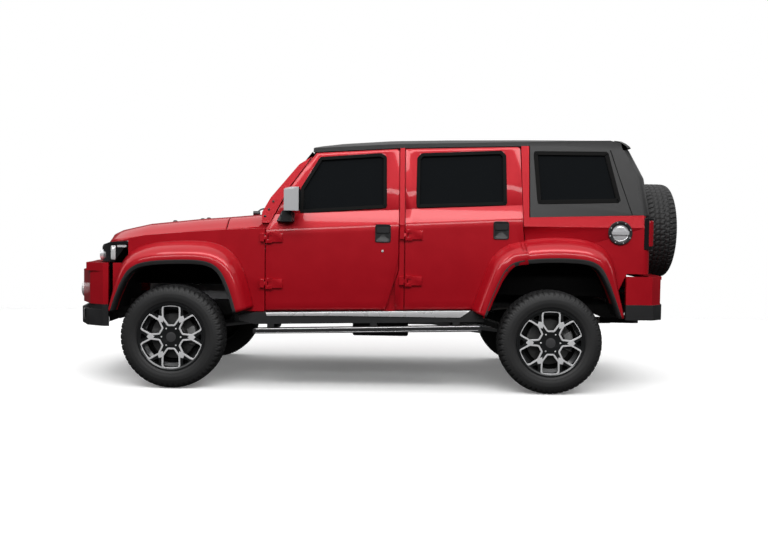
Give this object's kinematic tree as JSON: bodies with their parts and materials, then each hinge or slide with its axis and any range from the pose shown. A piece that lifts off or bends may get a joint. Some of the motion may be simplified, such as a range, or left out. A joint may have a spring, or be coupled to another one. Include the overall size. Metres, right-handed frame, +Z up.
{
  "type": "lifted off-road 4x4",
  "caption": "Lifted five-door off-road 4x4: red body, black hard top, arch flares, side steps, outside hinges, opening doors and bonnet, steered wheels, spare wheel on a swing tailgate.",
  "frame": {"origin": "on the floor under the middle of the overall length and width", "axes": "+X to the rear, +Y to the vehicle's right, +Z up"},
  "size_m": [4.6299, 2.088, 1.871],
  "materials": {
    "red_paint": "deep metallic red, clear coat",
    "hard_top_black": "fine-grained matte",
    "frame_black": "chassis black, semi-matte",
    "tub_grey": "seam-sealed grey",
    "lamp_clear": "clear polycarbonate",
    "dark_glass": "tinted safety glass",
    "cladding_plastic": "grained dark grey",
    "cast_metal": "as cast",
    "exhaust_steel": "dull",
    "cabin_plastic": "grained",
    "seat_fabric": "woven, padded",
    "mirror_chrome": "polished cap on a black base",
    "tyre_rubber": "moulded tread",
    "alloy": "machined faces with dark pockets"
  },
  "bodies": {
    "chassis": {"ladder_frame": "frame_black", "body_tub": "tub_grey", "body_sides": "red_paint", "windscreen_frame": "red_paint", "hard_top": "hard_top_black", "front_fenders": "red_paint", "fender_flares": "red_paint", "grille_panel": "hard_top_black", "front_bumper": "red_paint", "rear_bumper": "red_paint", "lamps": "lamp_clear", "fixed_glass": "dark_glass", "side_steps": "cladding_plastic", "engine_block": "cast_metal", "driveline": "cast_metal", "front_suspension": "frame_black", "rear_axle": "frame_black", "exhaust": "exhaust_steel", "fuel_tank": "cladding_plastic", "dashboard": "cabin_plastic", "seats": "seat_fabric"},
    "bonnet": {"bonnet": "red_paint"},
    "front_left_door": {"front_left_door": "red_paint", "front_left_glass": "dark_glass", "left_mirror": "mirror_chrome"},
    "front_right_door": {"front_right_door": "red_paint", "front_right_glass": "dark_glass", "right_mirror": "mirror_chrome"},
    "rear_left_door": {"rear_left_door": "red_paint", "rear_left_glass": "dark_glass"},
    "rear_right_door": {"rear_right_door": "red_paint", "rear_right_glass": "dark_glass"},
    "tailgate": {"tailgate": "red_paint", "tailgate_glass": "dark_glass", "spare_wheel": "alloy"},
    "left_knuckle": {"left_knuckle": "frame_black"},
    "right_knuckle": {"right_knuckle": "frame_black"},
    "front_left_wheel": {"front_left_tyre": "tyre_rubber", "front_left_rim": "alloy"},
    "front_right_wheel": {"front_right_tyre": "tyre_rubber", "front_right_rim": "alloy"},
    "rear_left_wheel": {"rear_left_tyre": "tyre_rubber", "rear_left_rim": "alloy"},
    "rear_right_wheel": {"rear_right_tyre": "tyre_rubber", "rear_right_rim": "alloy"}
  },
  "joints": [
    {"name": "left_steer", "type": "hinge", "parent": "chassis", "child": "left_knuckle", "pos_m": [-1.495, -0.748, 0.377], "axis": [0, 0, 1], "range_deg": [-32, 32]},
    {"name": "right_steer", "type": "hinge", "parent": "chassis", "child": "right_knuckle", "pos_m": [-1.495, 0.748, 0.377], "axis": [0, 0, 1], "range_deg": [-32, 32]},
    {"name": "front_left_spin", "type": "hinge", "parent": "left_knuckle", "child": "front_left_wheel", "pos_m": [-1.495, -0.81, 0.377], "axis": [0, 1, 0], "continuous": true},
    {"name": "front_right_spin", "type": "hinge", "parent": "right_knuckle", "child": "front_right_wheel", "pos_m": [-1.495, 0.81, 0.377], "axis": [0, 1, 0], "continuous": true},
    {"name": "rear_left_spin", "type": "hinge", "parent": "chassis", "child": "rear_left_wheel", "pos_m": [1.25, -0.81, 0.377], "axis": [0, 1, 0], "continuous": true},
    {"name": "rear_right_spin", "type": "hinge", "parent": "chassis", "child": "rear_right_wheel", "pos_m": [1.25, 0.81, 0.377], "axis": [0, 1, 0], "continuous": true},
    {"name": "front_left_door_hinge", "type": "hinge", "parent": "chassis", "child": "front_left_door", "pos_m": [-0.815, -0.851, 0.772], "axis": [0, 0, -1], "range_deg": [0, 65]},
    {"name": "front_right_door_hinge", "type": "hinge", "parent": "chassis", "child": "front_right_door", "pos_m": [-0.815, 0.851, 0.772], "axis": [0, 0, 1], "range_deg": [0, 65]},
    {"name": "rear_left_door_hinge", "type": "hinge", "parent": "chassis", "child": "rear_left_door", "pos_m": [0.201, -0.851, 0.806], "axis": [0, 0, -1], "range_deg": [0, 65]},
    {"name": "rear_right_door_hinge", "type": "hinge", "parent": "chassis", "child": "rear_right_door", "pos_m": [0.201, 0.851, 0.806], "axis": [0, 0, 1], "range_deg": [0, 65]},
    {"name": "tailgate_hinge", "type": "hinge", "parent": "chassis", "child": "tailgate", "pos_m": [1.993, 0.673, 0.96], "axis": [0, 0, 1], "range_deg": [0, 95]},
    {"name": "bonnet_hinge", "type": "hinge", "parent": "chassis", "child": "bonnet", "pos_m": [-1.115, 0, 1.262], "axis": [0, 1, 0], "range_deg": [0, 50]}
  ],
  "couplings": [
    {"joint": "right_steer", "follows": "left_steer", "ratio": 1}
  ]
}
